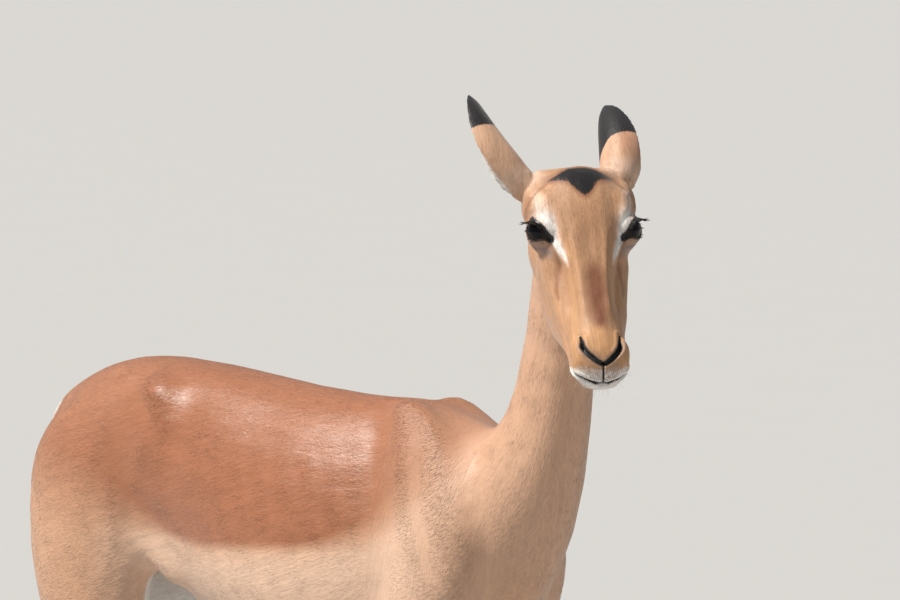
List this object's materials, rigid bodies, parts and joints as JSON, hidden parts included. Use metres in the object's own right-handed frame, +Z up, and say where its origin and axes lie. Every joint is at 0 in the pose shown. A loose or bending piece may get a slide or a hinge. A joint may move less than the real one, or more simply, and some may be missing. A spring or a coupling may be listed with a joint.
{
  "type": "impala antelope",
  "caption": "Still life-size impala ewe standing on four legs, hornless, head turned to her right, ears back, tail hanging.",
  "frame": {"origin": "on the floor, under the middle of the model's bounding box", "axes": "+X the way the body faces, +Y the animal's left, +Z up; the head is turned about 37 degrees towards -Y"},
  "size_m": [0.9978, 0.287, 1.1484],
  "materials": {
    "coat": "short sleek hair, red-brown saddle over fawn flanks, white belly",
    "eye": "wet, near-black brown",
    "hoof": "black horn with faint growth rings"
  },
  "bodies": {
    "root": {"head": "coat", "neck": "coat", "trunk": "coat", "tail": "coat", "ear_left": "coat", "ear_right": "coat", "foreleg_left_upper": "coat", "foreleg_left_lower": "coat", "foreleg_right_upper": "coat", "foreleg_right_lower": "coat", "hindleg_left_upper": "coat", "hindleg_left_lower": "coat", "hindleg_right_upper": "coat", "hindleg_right_lower": "coat", "eye_left": "eye", "eye_right": "eye", "forehoof_left_inner": "hoof", "forehoof_left_outer": "hoof", "forehoof_right_inner": "hoof", "forehoof_right_outer": "hoof", "hindhoof_left_inner": "hoof", "hindhoof_left_outer": "hoof", "hindhoof_right_inner": "hoof", "hindhoof_right_outer": "hoof"}
  },
  "joints": []
}
